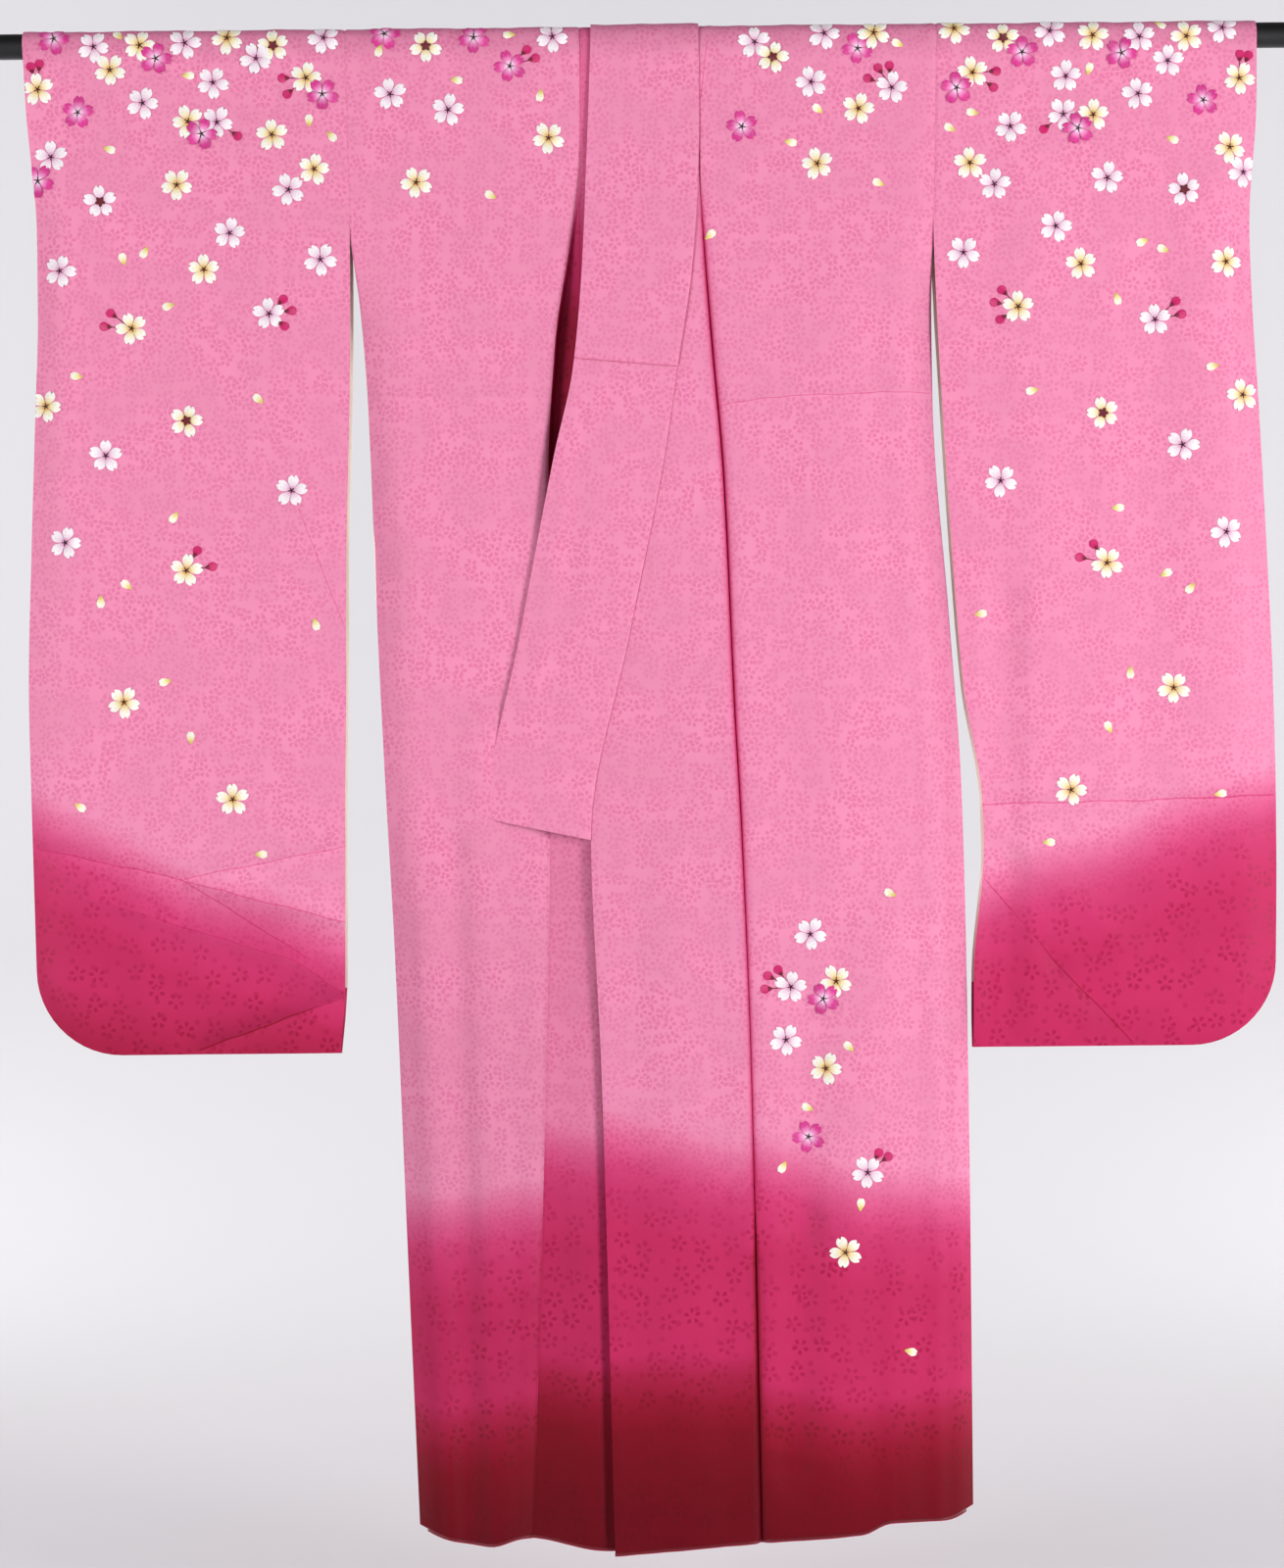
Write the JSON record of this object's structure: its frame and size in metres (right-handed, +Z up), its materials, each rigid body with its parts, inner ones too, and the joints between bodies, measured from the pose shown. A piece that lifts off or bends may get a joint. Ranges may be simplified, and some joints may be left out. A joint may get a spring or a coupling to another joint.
{
  "type": "furisode kimono with the rod it hangs on",
  "caption": "Pink furisode kimono, dyed crimson towards its hems, with scattered cherry blossoms, hung on a black rod.",
  "frame": {"origin": "middle of the axis of the rod that the kimono hangs on", "axes": "+X along the rod to the wearer's left, -Y the garment's front, +Z up"},
  "size_m": [1.5, 0.0821, 1.6938],
  "materials": {
    "silk": "silk crepe with a tone-on-tone blossom weave, shaded to crimson and dark red at the hems, with satin-stitch blossoms",
    "hem_silk": "silk hem roll, rose and crimson",
    "lining": "plain cream silk",
    "embroidery": "glossy satin-stitch silk thread, white, cream and magenta",
    "rod_black": "black paint, satin"
  },
  "bodies": {
    "root": {"rod": "rod_black", "body_right": "silk", "body_left": "silk", "okumi_right": "silk", "okumi_left": "silk", "sleeve_right": "silk", "sleeve_left": "silk", "collar_right": "silk", "collar_left": "silk", "over_collar": "silk", "sleeve_lining_right": "lining", "sleeve_lining_left": "lining", "hem_body_right": "hem_silk", "hem_okumi_right": "hem_silk", "hem_back_right": "hem_silk", "hem_body_left": "hem_silk", "hem_okumi_left": "hem_silk", "hem_back_left": "hem_silk"}
  },
  "joints": []
}
